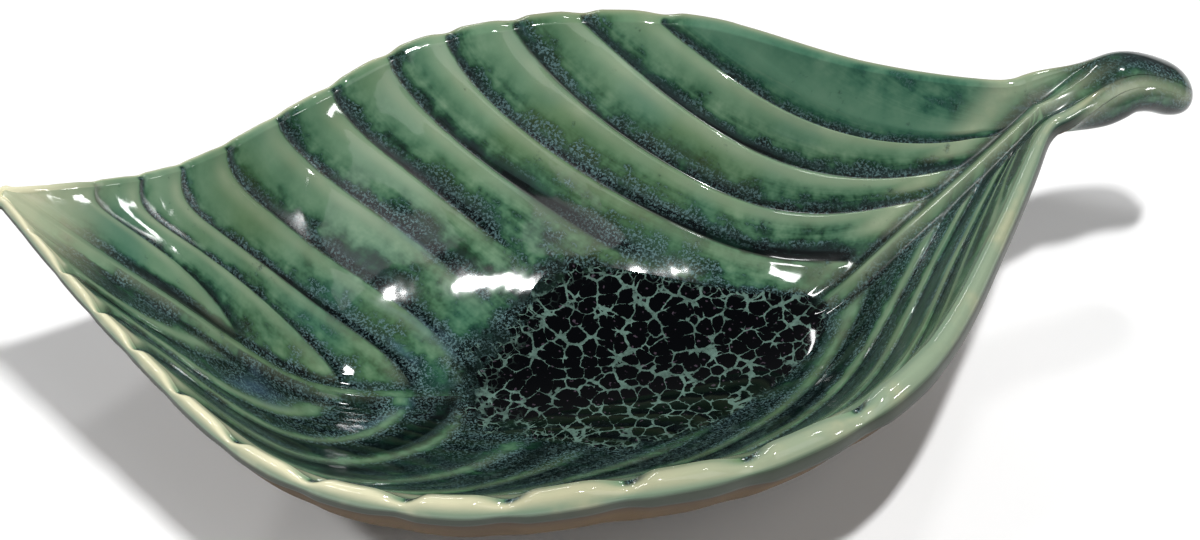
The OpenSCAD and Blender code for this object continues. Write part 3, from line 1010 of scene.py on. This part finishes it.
@dataclass
class GlazedInside(Piece):
    """The glaze coat over the inside and round the lip, down to the glaze line."""

    band_rows: int = 24
    last_rows: int = 90
    first_rows: int = 12
    nose_rows: int = 8
    rib_lines: int = 22
    wall_lines: int = 58
    lip_lines: int = 20
    tucks: tuple[tuple[float, float], ...] = ((0.00025, 0.00018), (0.0006, -0.0002))

    def rows(self) -> Array:
        """The rows, closer together beside each groove.

        Returns:
            Their places on the rim, from the tip to the stem.
        """
        veins = self.form.veins
        even = np.arange(self.band_rows) / self.band_rows
        drawn = even - 0.6 * np.sin(2 * math.pi * even) / (2 * math.pi)
        last = 1 - (1 - np.linspace(0, 1, self.last_rows)) ** 1.4
        parts = [np.linspace(0, veins[0], self.first_rows, endpoint=False)]
        parts += [start + (end - start) * drawn for start, end in zip(veins[:-1], veins[1:])]
        return np.concatenate([*parts, veins[-1] + (1 - veins[-1]) * last])

    def inside_lines(self, row: Array) -> Array:
        """Places across each row, from the midrib to the rim.

        Args:
            row: The rows.

        Returns:
            A row of places for each, closer together by the midrib and by the rim.
        """
        wide = self.form.width(self.form.row_place(row, np.zeros_like(row)))
        by_rib = np.minimum(2.6 * self.form.midrib_width / wide, 0.45)[:, None]
        near = np.linspace(0, 1, self.rib_lines)
        far = 1 - (1 - np.linspace(0, 1, self.wall_lines + 1)[1:]) ** 1.25
        return np.concatenate([by_rib * near, by_rib + (1 - by_rib) * far], 1)

    def half(self, row: Array, side: Side) -> Grid:
        """One side of the coat, from the midrib to the tucked end of the glaze.

        Args:
            row: The rows.
            side: Which side.

        Returns:
            Its net.
        """
        form = self.form
        reach = self.inside_lines(row)
        roll = np.concatenate([np.linspace(0, 1, self.lip_lines + 1)[1:], [1.0, 1.0]])
        inside_count, lip_count = reach.shape[1], len(roll)
        rolls = np.broadcast_to(roll, (len(row), lip_count))
        rows = np.repeat(row[:, None], inside_count + lip_count, 1)
        sides = np.full_like(rows, side.value)
        inner = form.inside(rows[:, :inside_count], reach, sides[:, :inside_count])
        lip = form.lip(rows[:, inside_count:], rolls, sides[:, inside_count:])
        out = form.outward(row, sides[:, 0])
        for line, (back, down) in zip((-2, -1), self.tucks):
            lip[:, line, :2] -= back * out
            lip[:, line, 2] -= down
        reaches = np.concatenate([reach, np.ones((len(row), lip_count))], 1)
        rolls = np.concatenate([np.zeros_like(reach), rolls], 1)
        return Grid(np.concatenate([inner, lip], 1), Spots(form, rows, reaches, rolls, sides).marks())

    def net(self) -> Grid:
        """The whole coat, with its rounded nose at the tip.

        Returns:
            Its net, from the near end of the glaze over the inside to the far one.
        """
        rows = self.rows()
        far, near = self.half(rows, Side.FAR), self.half(rows, Side.NEAR)
        points = np.concatenate([near.points[:, :0:-1], far.points], 1)
        marks = {key: np.concatenate([near.marks[key][:, :0:-1], far.marks[key]], 1) for key in far.marks}
        whole = Grid(points, marks)
        return whole.after(nose(self.form, whole, self.nose_rows))

    def build(self, material: bpy.types.Material) -> Grid:
        """Makes the piece in the green glaze and gives its net, which the stem goes on from."""
        return self.show(self.net(), "glazed_inside", material, Slot.GLAZE, "interior_glaze")


def nose(form: LeafForm, whole: Grid, count: int) -> Grid:
    """The rows that close a net round the tip: its first row, turned about the end of the leaf.

    Args:
        form: The leaf.
        whole: The net to close.
        count: How many rows.

    Returns:
        The rows before the first one.
    """
    first = whole.points[0]
    end, ahead, across = form.centre(0.0), form.heading(0.0), form.across(0.0)
    flat = first[:, :2] - end
    x, y = flat @ ahead, flat @ across
    reach = form.tip_reach / np.abs(y).max()
    turns = np.linspace(math.pi / 2, 0, count, endpoint=False)[:, None]
    back = x * np.cos(turns) - np.abs(y) * reach * np.sin(turns)
    aside = y * np.cos(turns)
    plan = end + back[..., None] * ahead + aside[..., None] * across
    z = np.broadcast_to(first[:, 2], back.shape)
    marks = {key: np.repeat(values[:1], count, 0) for key, values in whole.marks.items()}
    return Grid(lifted(plan, z), marks)


@dataclass
class ClayBody(Piece):
    """The bare outside of the pressed leaf, under the glaze line."""

    row_count: int = 220
    line_count: int = 44
    nose_rows: int = 8
    inset: float = 0.00035
    tuck_in: float = 0.0004
    tuck_up: float = 0.0012

    def net(self) -> Grid:
        """The outside, with its rounded nose at the tip.

        Returns:
            Its net, from the near glaze line under the leaf to the far one.
        """
        form = self.form
        along = np.linspace(0, 1, self.row_count)
        reach = 1 - (1 - np.linspace(0, 1, self.line_count)) ** 1.5
        rows = np.repeat(along[:, None], self.line_count + 1, 1)
        places = np.broadcast_to(np.append(reach, 1.0), rows.shape)
        halves = []
        for side in (Side.NEAR, Side.FAR):
            sides = np.full_like(rows, side.value)
            points = form.outside(rows, places, sides, self.inset)
            points[:, -1, :2] -= self.tuck_in * form.outward(along, sides[:, 0])
            points[:, -1, 2] += self.tuck_up
            halves.append(points)
        near, far = halves
        points = np.concatenate([near[:, :0:-1], far], 1)
        across = np.concatenate([places[:, :0:-1], places], 1)
        # Dark band just under the glaze line, iron and painted shade.
        down = smooth((across - 0.93) / 0.07)
        whole = Grid(points, {"glaze_edge": down, "flow": points * ALONG_DRAG})
        return whole.after(nose(form, whole, self.nose_rows))

    def build(self, material: bpy.types.Material) -> Grid:
        """Makes the piece in stoneware and gives its net, which the stem goes on from."""
        return self.show(self.net(), "clay_outside", material, Slot.CLAY, "leaf_body", inwards=True)


@dataclass
class Stem(Piece):
    """The curled stem: a clay core and the glaze all round it."""

    length: float = 0.041
    wide: float = 0.016
    thick: float = 0.0115
    rise: float = 0.006
    curl: float = 0.010
    fillet: float = 0.0018
    turn: float = 18.0
    row_count: int = 72
    cap_rows: int = 5
    core_depth: float = 0.0012

    def path(self, place: Array) -> tuple[Array, Array, Array]:
        """Where the stem goes.

        Args:
            place: Places along it, from 0 to 1.

        Returns:
            Its middle in plan, its direction as an angle, and its height over its start.
        """
        start = self.form.heading(1.0)
        angle = math.atan2(start[1], start[0]) - math.radians(self.turn) * place
        step = self.length * np.gradient(place)
        ways = np.stack([np.cos(angle), np.sin(angle)], -1) * step[:, None]
        ways[0] = 0
        plan = self.form.centre(1.0) + np.cumsum(ways, 0)
        return plan, angle, self.height(place)

    def height(self, place: Array) -> Array:
        """Height of the middle over its start."""
        return self.rise * smooth(place / 0.6) - self.curl * smooth((place - 0.45) / 0.65) ** 1.3

    def sections(self, start: Array, around: Array, place: Array, skin: float) -> Array:
        """The stem's sections: the leaf's end section first, then an oval that closes at the end.

        Args:
            start: The leaf's end section.
            around: Angles round it.
            place: Places along the stem.
            skin: How far under the glaze they lie.

        Returns:
            The sections, each flat about the stem's middle.
        """
        oval = np.stack([self.wide / 2 * np.cos(around), self.thick / 2 * np.sin(around)], -1)
        blend = smooth(place / 0.5)[:, None, None]
        closing = np.sqrt(np.clip(1 - np.clip((place - 0.8) / 0.2, 0, 1) ** 2, 0, None))
        local = (start * (1 - blend) + oval * blend) * (0.12 + 0.88 * closing)[:, None, None]
        local = local * np.maximum(1 - skin / np.linalg.norm(local, axis=-1, keepdims=True), 0.3)
        local[..., 1] -= skin * (local[..., 1] > 0)
        fillet = self.fillet * smooth(place / 0.4) * (1 - smooth((place - 0.3) / 0.6))
        low_near = np.clip(np.cos(around + 3 * math.pi / 4), 0, 1) ** 1.5
        return local - (fillet[:, None] * low_near)[..., None]

    def net(self, loop: Grid, skin: float) -> Grid:
        """The stem's surface, which goes on from the leaf.

        Args:
            loop: The leaf's last section, all round.
            skin: How far under the glaze it lies.

        Returns:
            Its net.
        """
        form = self.form
        place = np.linspace(0, 1, self.row_count)
        plan, angle, height = self.path(place)
        start_z = float(form.floor_z(1.0) + form.under_z(1.0)) / 2
        flat = (loop.points[0, :, :2] - form.centre(1.0)) @ form.across(1.0)
        start = np.stack([flat, loop.points[0, :, 2] - start_z], -1)
        around = np.arctan2(start[:, 1] / self.thick, start[:, 0] / self.wide)
        local = self.sections(start, around, place, skin)
        slope = (self.height(place + 0.02) - self.height(place - 0.02)) / (0.04 * self.length)
        pitch = smooth(2 * place) * np.arctan(slope)
        side = np.stack([-np.sin(angle), np.cos(angle), 0 * place], -1)
        ahead = np.stack([np.cos(angle), np.sin(angle), 0 * place], -1)
        up = np.array([0, 0, 1]) * np.cos(pitch)[:, None] - ahead * np.sin(pitch)[:, None]
        middle = lifted(plan, start_z + height)
        points = middle[:, None] + local[..., :1] * side[:, None] + local[..., 1:] * up[:, None]
        return self.capped(Grid(points, self.marks(loop, place, around)), ahead[-1], skin)

    def marks(self, loop: Grid, place: Array, around: Array) -> dict[str, Array]:
        """What the finish reads on the stem.

        Args:
            loop: The leaf's last section with its own numbers.
            place: Places along the stem.
            around: Angles round it, 90 degrees on top.

        Returns:
            The numbers by name.
        """
        leaf = {key: row[0] for key, row in loop.marks.items()}
        go = place[:, None]
        left, begun = 1 - smooth(go / 0.6), smooth(go / 0.3)
        top = bell((around - math.pi / 2) / 1.1)
        patch = 0.94 * bell((go - 0.66) / 0.24) * top
        near_side = (bell((around + 2.9) / 0.55) + bell((around - 3.38) / 0.55)) * begun
        ridge = bell((around - 2.5) / 0.28) * (1 - smooth((go - 0.85) / 0.15)) * begun
        under = smooth(-np.sin(around) * 1.6) * begun
        zero = 0 * patch
        runs = [leaf["thick"] * left, patch, 0.95 * near_side, 0.8 * under, 0.6 * smooth(go / 0.4) + zero]
        return {
            "thick": np.maximum.reduce(runs),
            "thin": np.maximum(leaf["thin"] * left, 0.75 * ridge),
            "matt": leaf["matt"] * left,
            "pool": zero - 0.25,
            "lip": np.maximum(leaf["lip"] * left * (1 - leaf["outer"] * begun), 0.1 * ridge),
            "outer": zero,
            "end": leaf["end"] * (1 - begun),
            "celadon": leaf["celadon"] * (1 - begun),
            "flow": np.stack([go * 0.01 + zero, around * 0.008 + zero, zero], -1),
            "blue": np.maximum(0.5 * near_side, leaf["blue"] * (1 - begun)),
        }

    def capped(self, net: Grid, ahead: Array, skin: float) -> Grid:
        """Closes the far end with rows that draw together.

        Args:
            net: The open tube.
            ahead: Direction of the stem at its end.
            skin: How far under the glaze it lies.

        Returns:
            The closed tube.
        """
        last = net.points[-1]
        middle = last.mean(0)
        out = self.thick / 10 - skin
        turns = np.linspace(0, math.pi / 2, self.cap_rows + 1)[1:, None, None]
        rows = middle + (last - middle) * np.cos(turns) + ahead * out * np.sin(turns)
        marks = {key: np.repeat(values[-1:], self.cap_rows, 0) for key, values in net.marks.items()}
        return Grid(rows, marks).after(net)

    def section(self, coat: Grid, clay: Grid) -> Grid:
        """The leaf's last section all round, from the near end of the glaze over the inside and back.

        Args:
            coat: The glaze coat's net.
            clay: The clay's net.

        Returns:
            One row, closed.
        """
        tucked = 2
        top = slice(tucked, coat.points.shape[1] - tucked)
        glazed = coat.points[-1:, top]
        clayed = clay.points[-1:, clay.points.shape[1] - 3:1:-1]
        bare = dict.fromkeys(("thin", "matt", "lip", "outer", "end", "celadon"), 0.0)
        bare.update(thick=0.5, pool=-0.25, blue=0.5)
        ends = {key: np.full(clayed.shape[:2], value) for key, value in bare.items()}
        marks = {key: np.concatenate([coat.marks[key][-1:, top], value], 1) for key, value in ends.items()}
        return Grid(np.concatenate([glazed, clayed], 1), marks)

    def build(self, coat: Grid, clay: Grid, glaze: bpy.types.Material, body: bpy.types.Material) -> None:
        """Makes the glazed stem and its core.

        Args:
            coat: The glaze coat's net.
            clay: The clay's net.
            glaze: The green glaze.
            body: The stoneware.
        """
        loop = self.section(coat, clay)
        outer = self.net(loop, 0.0)
        self.show(outer, "stem_glazed", glaze, Slot.GLAZE, "stem_glaze", round_lines=True)
        inner = self.net(loop, self.core_depth)
        core = Grid(inner.points, {"glaze_edge": 0 * inner.marks["thick"], "flow": inner.marks["flow"]})
        self.show(core, "stem_core", body, Slot.CLAY, "stem_handle", round_lines=True)


@dataclass
class CracklePool(Piece):
    """The lens of black glass in the well, with its pale net of fissures."""

    thickness: float = 0.0018
    edge: float = 0.00004
    row_count: int = 150
    line_count: int = 60

    def build(self, material: bpy.types.Material) -> None:
        """Makes the piece.

        Args:
            material: The pool's glass.
        """
        form = self.form
        low, high = form.pool_rows
        places = np.linspace(0.01, 0.99, self.row_count)
        row = np.repeat((low + (high - low) * places)[:, None], 2 * self.line_count + 1, 1)
        across = np.broadcast_to(np.linspace(-1, 1, 2 * self.line_count + 1), row.shape)
        side = np.where(across < 0, -1.0, 1.0)
        share = np.abs(across)
        reach = share * form.pool_margin(row, side)
        points = form.inside(row, reach, side)
        along = form.row_place(row, reach)
        depth = self.edge + (self.thickness - self.edge) * form.pool_fill(row) * (1 - share**2)
        points[..., 2] = np.maximum(points[..., 2] + self.edge, form.dish_z(along, reach) + depth)
        net = Grid(points, Spots(form, row, reach, 0 * reach, side).marks())
        self.show(net, "crackle_pool", material, Slot.POOL, "glaze_pool")


@dataclass
class FootRing(Piece):
    """The wiped ring of bare clay under the leaf."""

    length: float = 0.092
    width: float = 0.044
    thickness: float = 0.005
    round_over: float = 0.0012
    segments: int = 144
    bend_lines: int = 6

    def build(self, material: bpy.types.Material) -> None:
        """Makes the piece.

        Args:
            material: The stoneware.
        """
        high, curve = self.form.foot_height, self.round_over
        turn = np.linspace(0, 2 * math.pi, self.segments, endpoint=False)[:, None]
        angles = np.linspace(0, math.pi / 2, self.bend_lines)
        bend = [(curve * math.sin(angle), curve - curve * math.cos(angle)) for angle in angles]
        inner_side = [(curve - x, y) for x, y in bend]
        outer_side = [(self.thickness - curve + x, y) for x, y in bend]
        profile = np.array([(0.0, high), *inner_side[::-1], *outer_side, (self.thickness, high)])
        long = self.length / 2 - self.thickness + profile[:, 0]
        wide = self.width / 2 - self.thickness + profile[:, 0]
        middle = self.form.centre(0.5)
        x, y = middle[0] + long * np.cos(turn), middle[1] + wide * np.sin(turn)
        points = lifted(np.stack([x, y], -1), np.broadcast_to(profile[:, 1], x.shape))
        closed = np.concatenate([points, points[:1]])
        marks = {"glaze_edge": 0 * closed[..., 0], "flow": self.placed(closed) * ALONG_DRAG}
        self.show(Grid(closed, marks), "foot_ring_wiped", material, Slot.CLAY, "foot_ring")


@dataclass(frozen=True)
class Lamp:
    """One soft box: its bearing and height in degrees, its distance and size in metres, how bright
    its face is, and its roll in degrees.
    """

    name: str
    azimuth: float
    elevation: float
    distance: float
    width: float
    height: float
    radiance: float
    roll: float = 0.0

    def build(self, target: Vector) -> None:
        """Makes the lamp.

        Args:
            target: What it looks at.
        """
        light = bpy.data.lights.new(self.name, "AREA")
        light.shape = "RECTANGLE"
        light.size, light.size_y = self.width, self.height
        light.energy = self.radiance * self.width * self.height * math.pi
        azimuth, elevation = math.radians(self.azimuth), math.radians(self.elevation)
        level = math.cos(elevation)
        way = Vector((math.sin(azimuth) * level, -math.cos(azimuth) * level, math.sin(elevation)))
        lamp = bpy.data.objects.new(self.name, light)
        lamp.location = target + way * self.distance
        turned = way.to_track_quat("Z", "Y") @ Quaternion((0, 0, 1), math.radians(self.roll))
        lamp.rotation_euler = turned.to_euler()
        bpy.context.scene.collection.objects.link(lamp)


@dataclass
class Studio:
    """Pale floor, soft lamps and the camera."""

    floor_radius: float = 3.0
    floor_radii: tuple[float, ...] = (0.0, 0.4, 0.8, 1.0, 1.15, 1.25, 1.3)
    floor_heights: tuple[float, ...] = (0.0, 0.0, 0.0, 0.02, 0.1, 0.25, 0.45)
    lamps: tuple[Lamp, ...] = (
        Lamp("front_window", 34, 46, 1.4, 0.7, 0.9, 1.2),
        Lamp("key_box", 14.0, 72.6, 1.19, 0.1, 0.045, 710.0, 29),
        Lamp("left_box", -82.1, 51, 1.17, 0.36, 0.09, 34.0, 37),
        Lamp("right_box", 61.2, 19.4, 1.12, 0.16, 0.06, 30.0),
        Lamp("back_right_box", 136, 62, 1.2, 0.12, 0.06, 70.0),
        Lamp("back_strip", -163.3, 36.4, 1.16, 0.7, 0.03, 24.0, 23),
    )
    world_front: float = 0.19
    world_back: float = 0.09
    world_high: float = 0.03
    camera_place: tuple[float, float, float] = (-0.0773, -0.3815, 0.4462)
    target: tuple[float, float, float] = (-0.0044, 0.0252, 0.020)
    lens: float = 72.1

    def build_floor(self) -> None:
        """Makes the pale floor, which curls up far away as a backdrop."""
        nodes = Shading("pale_floor")
        kinds = ("Is Camera Ray", "Is Glossy Ray", "Is Transmission Ray")
        ray, gloss, through = (nodes.node("ShaderNodeLightPath", output=kind) for kind in kinds)
        white = nodes.mix(ray.top(gloss).top(through), paint(205, 205, 205), paint(255, 255, 255))
        material = nodes.finish({"Base Color": white, "Roughness": 0.9, "Specular IOR Level": 0.0})
        turn = np.linspace(0, 2 * math.pi, 96)[:, None]
        radius = self.floor_radius * np.array(self.floor_radii)
        height = self.floor_radius * np.array(self.floor_heights)
        x, y = radius * np.cos(turn), radius * np.sin(turn)
        net = Grid(lifted(np.stack([x, y], -1), np.broadcast_to(height, x.shape)), {})
        floor = net.build("floor", inwards=True)
        floor.data.materials.append(material)

    def build_lights(self) -> None:
        """Makes the lamps and the even light all round."""
        for lamp in self.lamps:
            lamp.build(Vector(self.target))
        world = bpy.data.worlds.new("studio")
        bpy.context.scene.world = world
        nodes = Shading("studio", world)
        way = nodes.node("ShaderNodeTexCoord", output="Generated")
        height, depth = (nodes.node("ShaderNodeSeparateXYZ", None, {0: way}, axis) for axis in "ZY")
        front, back, high = ((level,) * 3 for level in (self.world_front, self.world_back, self.world_high))
        low = nodes.mix(depth.step(-0.2, 0.5), front, back)
        glow = nodes.mix(height.step(0.45, 0.95), low, high)
        sky = nodes.node("ShaderNodeBackground", None, {"Color": glow, "Strength": 1.0})
        nodes.output("ShaderNodeOutputWorld", sky)

    def build_camera(self) -> None:
        """Makes the camera at the photograph's angle."""
        data = bpy.data.cameras.new("camera")
        data.sensor_fit = "HORIZONTAL"
        data.sensor_width = 36.0
        data.lens = self.lens
        data.clip_start, data.clip_end = 0.01, 20.0
        camera = bpy.data.objects.new("camera", data)
        camera.location = self.camera_place
        way = Vector(self.target) - Vector(self.camera_place)
        camera.rotation_euler = way.to_track_quat("-Z", "Y").to_euler()
        bpy.context.scene.collection.objects.link(camera)
        bpy.context.scene.camera = camera

    def build(self) -> None:
        """Makes the whole studio."""
        self.build_floor()
        self.build_lights()
        self.build_camera()
        bpy.context.scene.view_settings.view_transform = "Standard"
        log.info("studio: %d lamps", len(self.lamps))


def main() -> None:
    """Builds the dish piece by piece, then the studio."""
    logging.basicConfig(level=logging.INFO, format="%(message)s")
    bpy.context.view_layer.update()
    form = LeafForm()
    low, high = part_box("foot_ring")
    middle = (low + high) / 2
    origin = np.array([middle.x, middle.y]) - form.centre(0.5)
    glaze = GlazeFinish().material()
    glass = GlazeFinish(name="pool_glass", roughness=0.04, ripple_depth=0.00005).material()
    clay = ClayFinish().material()
    coat = GlazedInside(form, origin).build(glaze)
    outside = ClayBody(form, origin).build(clay)
    Stem(form, origin).build(coat, outside, glaze, clay)
    CracklePool(form, origin).build(glass)
    FootRing(form, origin).build(clay)
    Studio().build()


if __name__ == "__main__":
    main()
